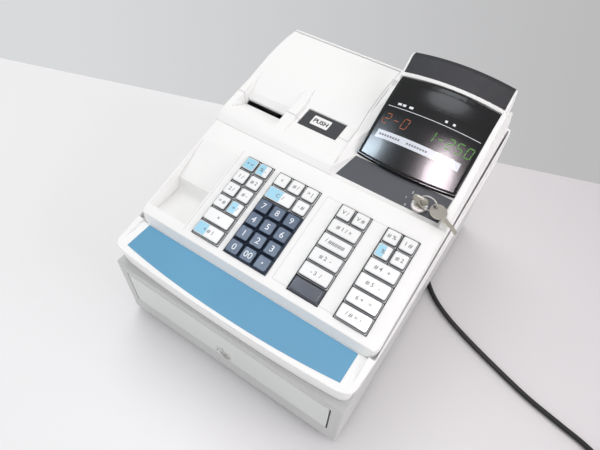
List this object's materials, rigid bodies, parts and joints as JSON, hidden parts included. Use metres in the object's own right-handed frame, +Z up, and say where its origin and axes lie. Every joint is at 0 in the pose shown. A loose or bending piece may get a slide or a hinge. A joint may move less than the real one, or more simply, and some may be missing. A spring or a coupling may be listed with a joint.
{
  "type": "cash register",
  "caption": "Electronic cash register with sloped key deck, coin recess, receipt printer cover and tilted display, on a steel cash drawer with note and coin tray.",
  "frame": {"origin": "middle of the register's footprint on the table, measured without the cord and what is on it", "axes": "+Z up; -Y towards the operator, who sees the drawer front; +X to the operator's right"},
  "size_m": [0.6575, 0.4983, 0.2702],
  "materials": {
    "cabinet_paint": "satin paint",
    "drawer_paint": "satin paint",
    "lock_metal": "satin nickel",
    "tray_plastic": "matte",
    "case_plastic": "fine grain",
    "button_plastic": "matte",
    "printer_metal": "zinc plated",
    "roll_paper": "matte",
    "smoked_window": "glossy smoked acrylic",
    "key_metal": "worn nickel",
    "display_grey": "semi gloss",
    "cord_rubber": "soft",
    "key_dark": "satin",
    "key_clear": "clear cap over white"
  },
  "bodies": {
    "register": {"cabinet": "cabinet_paint", "base_case": "case_plastic", "key_deck": "case_plastic", "rear_case": "case_plastic", "printer_unit": "printer_metal", "display_window": "smoked_window", "mode_lock": "lock_metal", "strain_relief": "cord_rubber", "cord_coil": "cord_rubber", "power_cord": "cord_rubber", "power_plug": "cord_rubber"},
    "drawer": {"drawer": "drawer_paint", "coin_tray": "tray_plastic"},
    "drawer_lock": {"drawer_lock": "lock_metal"},
    "cover": {"printer_cover": "case_plastic"},
    "cover_button": {"cover_button": "button_plastic"},
    "customer_display": {"customer_display": "display_grey"},
    "mode_key": {"mode_key": "key_metal"},
    "paper_roll": {"paper_roll": "roll_paper"},
    "key_a1_1": {"key_a1_1": "key_clear"},
    "key_a1_2": {"key_a1_2": "key_clear"},
    "key_b1_1": {"key_b1_1": "key_clear"},
    "key_b1_2": {"key_b1_2": "key_clear"},
    "key_b1_3": {"key_b1_3": "key_clear"},
    "key_c1_1": {"key_c1_1": "key_clear"},
    "key_c1_2": {"key_c1_2": "key_clear"},
    "key_d1_1": {"key_d1_1": "key_clear"},
    "key_d1_2": {"key_d1_2": "key_clear"},
    "key_a2_1": {"key_a2_1": "key_clear"},
    "key_a2_2": {"key_a2_2": "key_clear"},
    "key_b2_1": {"key_b2_1": "key_clear"},
    "key_b2_3": {"key_b2_3": "key_clear"},
    "key_c2": {"key_c2": "key_clear"},
    "key_d2_1": {"key_d2_1": "key_clear"},
    "key_d2_2": {"key_d2_2": "key_clear"},
    "key_a3_1": {"key_a3_1": "key_clear"},
    "key_a3_2": {"key_a3_2": "key_clear"},
    "key_b3_1": {"key_b3_1": "key_dark"},
    "key_b3_2": {"key_b3_2": "key_dark"},
    "key_b3_3": {"key_b3_3": "key_dark"},
    "key_c3": {"key_c3": "key_clear"},
    "key_d3": {"key_d3": "key_clear"},
    "key_a4_1": {"key_a4_1": "key_clear"},
    "key_a4_2": {"key_a4_2": "key_clear"},
    "key_b4_1": {"key_b4_1": "key_dark"},
    "key_b4_2": {"key_b4_2": "key_dark"},
    "key_b4_3": {"key_b4_3": "key_dark"},
    "key_c4": {"key_c4": "key_clear"},
    "key_d4": {"key_d4": "key_clear"},
    "key_a5": {"key_a5": "key_clear"},
    "key_b5_1": {"key_b5_1": "key_dark"},
    "key_b5_2": {"key_b5_2": "key_dark"},
    "key_b5_3": {"key_b5_3": "key_dark"},
    "key_c5": {"key_c5": "key_clear"},
    "key_d5": {"key_d5": "key_clear"},
    "key_a6": {"key_a6": "key_clear"},
    "key_b6_1": {"key_b6_1": "key_dark"},
    "key_b6_2": {"key_b6_2": "key_dark"},
    "key_b6_3": {"key_b6_3": "key_dark"},
    "key_d6": {"key_d6": "key_clear"}
  },
  "joints": [
    {"name": "drawer_slide", "type": "slide", "parent": "register", "child": "drawer", "axis": [0, -1, 0], "range_m": [0, 0.29]},
    {"name": "cover_hinge", "type": "hinge", "parent": "register", "child": "cover", "pos_m": [0, 0.1728, 0.22729], "axis": [-1, 0, 0], "range_deg": [0, 75]},
    {"name": "customer_display_rise", "type": "slide", "parent": "register", "child": "customer_display", "axis": [0, 0, 1], "range_m": [0, 0.04]},
    {"name": "button_press", "type": "slide", "parent": "cover", "child": "cover_button", "axis": [0, 0, -1], "range_m": [0, 0.003], "stiffness_N_per_m": 300, "springref_m": -0.002},
    {"name": "mode_key_turn", "type": "hinge", "parent": "register", "child": "mode_key", "pos_m": [0.117, 0.0155, 0.19168], "axis": [0, -0.3032, 0.9529], "range_deg": [-60, 90]},
    {"name": "drawer_lock_turn", "type": "hinge", "parent": "drawer", "child": "drawer_lock", "pos_m": [0.002, -0.1975, 0.049], "axis": [0, 1, 0], "range_deg": [0, 90]},
    {"name": "paper_roll_spin", "type": "hinge", "parent": "register", "child": "paper_roll", "pos_m": [-0.1185, 0.1245, 0.184], "axis": [1, 0, 0], "continuous": true},
    {"name": "key_a1_1_press", "type": "slide", "parent": "register", "child": "key_a1_1", "axis": [0, 0.2749, -0.9615], "range_m": [0, 0.0035], "stiffness_N_per_m": 150, "springref_m": -0.003},
    {"name": "key_a1_2_press", "type": "slide", "parent": "register", "child": "key_a1_2", "axis": [0, 0.2749, -0.9615], "range_m": [0, 0.0035], "stiffness_N_per_m": 150, "springref_m": -0.003},
    {"name": "key_b1_1_press", "type": "slide", "parent": "register", "child": "key_b1_1", "axis": [0, 0.2749, -0.9615], "range_m": [0, 0.0035], "stiffness_N_per_m": 150, "springref_m": -0.003},
    {"name": "key_b1_2_press", "type": "slide", "parent": "register", "child": "key_b1_2", "axis": [0, 0.2749, -0.9615], "range_m": [0, 0.0035], "stiffness_N_per_m": 150, "springref_m": -0.003},
    {"name": "key_b1_3_press", "type": "slide", "parent": "register", "child": "key_b1_3", "axis": [0, 0.2749, -0.9615], "range_m": [0, 0.0035], "stiffness_N_per_m": 150, "springref_m": -0.003},
    {"name": "key_c1_1_press", "type": "slide", "parent": "register", "child": "key_c1_1", "axis": [0, 0.2749, -0.9615], "range_m": [0, 0.0035], "stiffness_N_per_m": 150, "springref_m": -0.003},
    {"name": "key_c1_2_press", "type": "slide", "parent": "register", "child": "key_c1_2", "axis": [0, 0.2749, -0.9615], "range_m": [0, 0.0035], "stiffness_N_per_m": 150, "springref_m": -0.003},
    {"name": "key_d1_1_press", "type": "slide", "parent": "register", "child": "key_d1_1", "axis": [0, 0.2749, -0.9615], "range_m": [0, 0.0035], "stiffness_N_per_m": 150, "springref_m": -0.003},
    {"name": "key_d1_2_press", "type": "slide", "parent": "register", "child": "key_d1_2", "axis": [0, 0.2749, -0.9615], "range_m": [0, 0.0035], "stiffness_N_per_m": 150, "springref_m": -0.003},
    {"name": "key_a2_1_press", "type": "slide", "parent": "register", "child": "key_a2_1", "axis": [0, 0.2749, -0.9615], "range_m": [0, 0.0035], "stiffness_N_per_m": 150, "springref_m": -0.003},
    {"name": "key_a2_2_press", "type": "slide", "parent": "register", "child": "key_a2_2", "axis": [0, 0.2749, -0.9615], "range_m": [0, 0.0035], "stiffness_N_per_m": 150, "springref_m": -0.003},
    {"name": "key_b2_1_press", "type": "slide", "parent": "register", "child": "key_b2_1", "axis": [0, 0.2749, -0.9615], "range_m": [0, 0.0035], "stiffness_N_per_m": 150, "springref_m": -0.003},
    {"name": "key_b2_3_press", "type": "slide", "parent": "register", "child": "key_b2_3", "axis": [0, 0.2749, -0.9615], "range_m": [0, 0.0035], "stiffness_N_per_m": 150, "springref_m": -0.003},
    {"name": "key_c2_press", "type": "slide", "parent": "register", "child": "key_c2", "axis": [0, 0.2749, -0.9615], "range_m": [0, 0.0035], "stiffness_N_per_m": 150, "springref_m": -0.003},
    {"name": "key_d2_1_press", "type": "slide", "parent": "register", "child": "key_d2_1", "axis": [0, 0.2749, -0.9615], "range_m": [0, 0.0035], "stiffness_N_per_m": 150, "springref_m": -0.003},
    {"name": "key_d2_2_press", "type": "slide", "parent": "register", "child": "key_d2_2", "axis": [0, 0.2749, -0.9615], "range_m": [0, 0.0035], "stiffness_N_per_m": 150, "springref_m": -0.003},
    {"name": "key_a3_1_press", "type": "slide", "parent": "register", "child": "key_a3_1", "axis": [0, 0.2749, -0.9615], "range_m": [0, 0.0035], "stiffness_N_per_m": 150, "springref_m": -0.003},
    {"name": "key_a3_2_press", "type": "slide", "parent": "register", "child": "key_a3_2", "axis": [0, 0.2749, -0.9615], "range_m": [0, 0.0035], "stiffness_N_per_m": 150, "springref_m": -0.003},
    {"name": "key_b3_1_press", "type": "slide", "parent": "register", "child": "key_b3_1", "axis": [0, 0.2749, -0.9615], "range_m": [0, 0.0035], "stiffness_N_per_m": 150, "springref_m": -0.003},
    {"name": "key_b3_2_press", "type": "slide", "parent": "register", "child": "key_b3_2", "axis": [0, 0.2749, -0.9615], "range_m": [0, 0.0035], "stiffness_N_per_m": 150, "springref_m": -0.003},
    {"name": "key_b3_3_press", "type": "slide", "parent": "register", "child": "key_b3_3", "axis": [0, 0.2749, -0.9615], "range_m": [0, 0.0035], "stiffness_N_per_m": 150, "springref_m": -0.003},
    {"name": "key_c3_press", "type": "slide", "parent": "register", "child": "key_c3", "axis": [0, 0.2749, -0.9615], "range_m": [0, 0.0035], "stiffness_N_per_m": 150, "springref_m": -0.003},
    {"name": "key_d3_press", "type": "slide", "parent": "register", "child": "key_d3", "axis": [0, 0.2749, -0.9615], "range_m": [0, 0.0035], "stiffness_N_per_m": 150, "springref_m": -0.003},
    {"name": "key_a4_1_press", "type": "slide", "parent": "register", "child": "key_a4_1", "axis": [0, 0.2749, -0.9615], "range_m": [0, 0.0035], "stiffness_N_per_m": 150, "springref_m": -0.003},
    {"name": "key_a4_2_press", "type": "slide", "parent": "register", "child": "key_a4_2", "axis": [0, 0.2749, -0.9615], "range_m": [0, 0.0035], "stiffness_N_per_m": 150, "springref_m": -0.003},
    {"name": "key_b4_1_press", "type": "slide", "parent": "register", "child": "key_b4_1", "axis": [0, 0.2749, -0.9615], "range_m": [0, 0.0035], "stiffness_N_per_m": 150, "springref_m": -0.003},
    {"name": "key_b4_2_press", "type": "slide", "parent": "register", "child": "key_b4_2", "axis": [0, 0.2749, -0.9615], "range_m": [0, 0.0035], "stiffness_N_per_m": 150, "springref_m": -0.003},
    {"name": "key_b4_3_press", "type": "slide", "parent": "register", "child": "key_b4_3", "axis": [0, 0.2749, -0.9615], "range_m": [0, 0.0035], "stiffness_N_per_m": 150, "springref_m": -0.003},
    {"name": "key_c4_press", "type": "slide", "parent": "register", "child": "key_c4", "axis": [0, 0.2749, -0.9615], "range_m": [0, 0.0035], "stiffness_N_per_m": 150, "springref_m": -0.003},
    {"name": "key_d4_press", "type": "slide", "parent": "register", "child": "key_d4", "axis": [0, 0.2749, -0.9615], "range_m": [0, 0.0035], "stiffness_N_per_m": 150, "springref_m": -0.003},
    {"name": "key_a5_press", "type": "slide", "parent": "register", "child": "key_a5", "axis": [0, 0.2749, -0.9615], "range_m": [0, 0.0035], "stiffness_N_per_m": 150, "springref_m": -0.003},
    {"name": "key_b5_1_press", "type": "slide", "parent": "register", "child": "key_b5_1", "axis": [0, 0.2749, -0.9615], "range_m": [0, 0.0035], "stiffness_N_per_m": 150, "springref_m": -0.003},
    {"name": "key_b5_2_press", "type": "slide", "parent": "register", "child": "key_b5_2", "axis": [0, 0.2749, -0.9615], "range_m": [0, 0.0035], "stiffness_N_per_m": 150, "springref_m": -0.003},
    {"name": "key_b5_3_press", "type": "slide", "parent": "register", "child": "key_b5_3", "axis": [0, 0.2749, -0.9615], "range_m": [0, 0.0035], "stiffness_N_per_m": 150, "springref_m": -0.003},
    {"name": "key_c5_press", "type": "slide", "parent": "register", "child": "key_c5", "axis": [0, 0.2749, -0.9615], "range_m": [0, 0.0035], "stiffness_N_per_m": 150, "springref_m": -0.003},
    {"name": "key_d5_press", "type": "slide", "parent": "register", "child": "key_d5", "axis": [0, 0.2749, -0.9615], "range_m": [0, 0.0035], "stiffness_N_per_m": 150, "springref_m": -0.003},
    {"name": "key_a6_press", "type": "slide", "parent": "register", "child": "key_a6", "axis": [0, 0.2749, -0.9615], "range_m": [0, 0.0035], "stiffness_N_per_m": 150, "springref_m": -0.003},
    {"name": "key_b6_1_press", "type": "slide", "parent": "register", "child": "key_b6_1", "axis": [0, 0.2749, -0.9615], "range_m": [0, 0.0035], "stiffness_N_per_m": 150, "springref_m": -0.003},
    {"name": "key_b6_2_press", "type": "slide", "parent": "register", "child": "key_b6_2", "axis": [0, 0.2749, -0.9615], "range_m": [0, 0.0035], "stiffness_N_per_m": 150, "springref_m": -0.003},
    {"name": "key_b6_3_press", "type": "slide", "parent": "register", "child": "key_b6_3", "axis": [0, 0.2749, -0.9615], "range_m": [0, 0.0035], "stiffness_N_per_m": 150, "springref_m": -0.003},
    {"name": "key_d6_press", "type": "slide", "parent": "register", "child": "key_d6", "axis": [0, 0.2749, -0.9615], "range_m": [0, 0.0035], "stiffness_N_per_m": 150, "springref_m": -0.003}
  ]
}
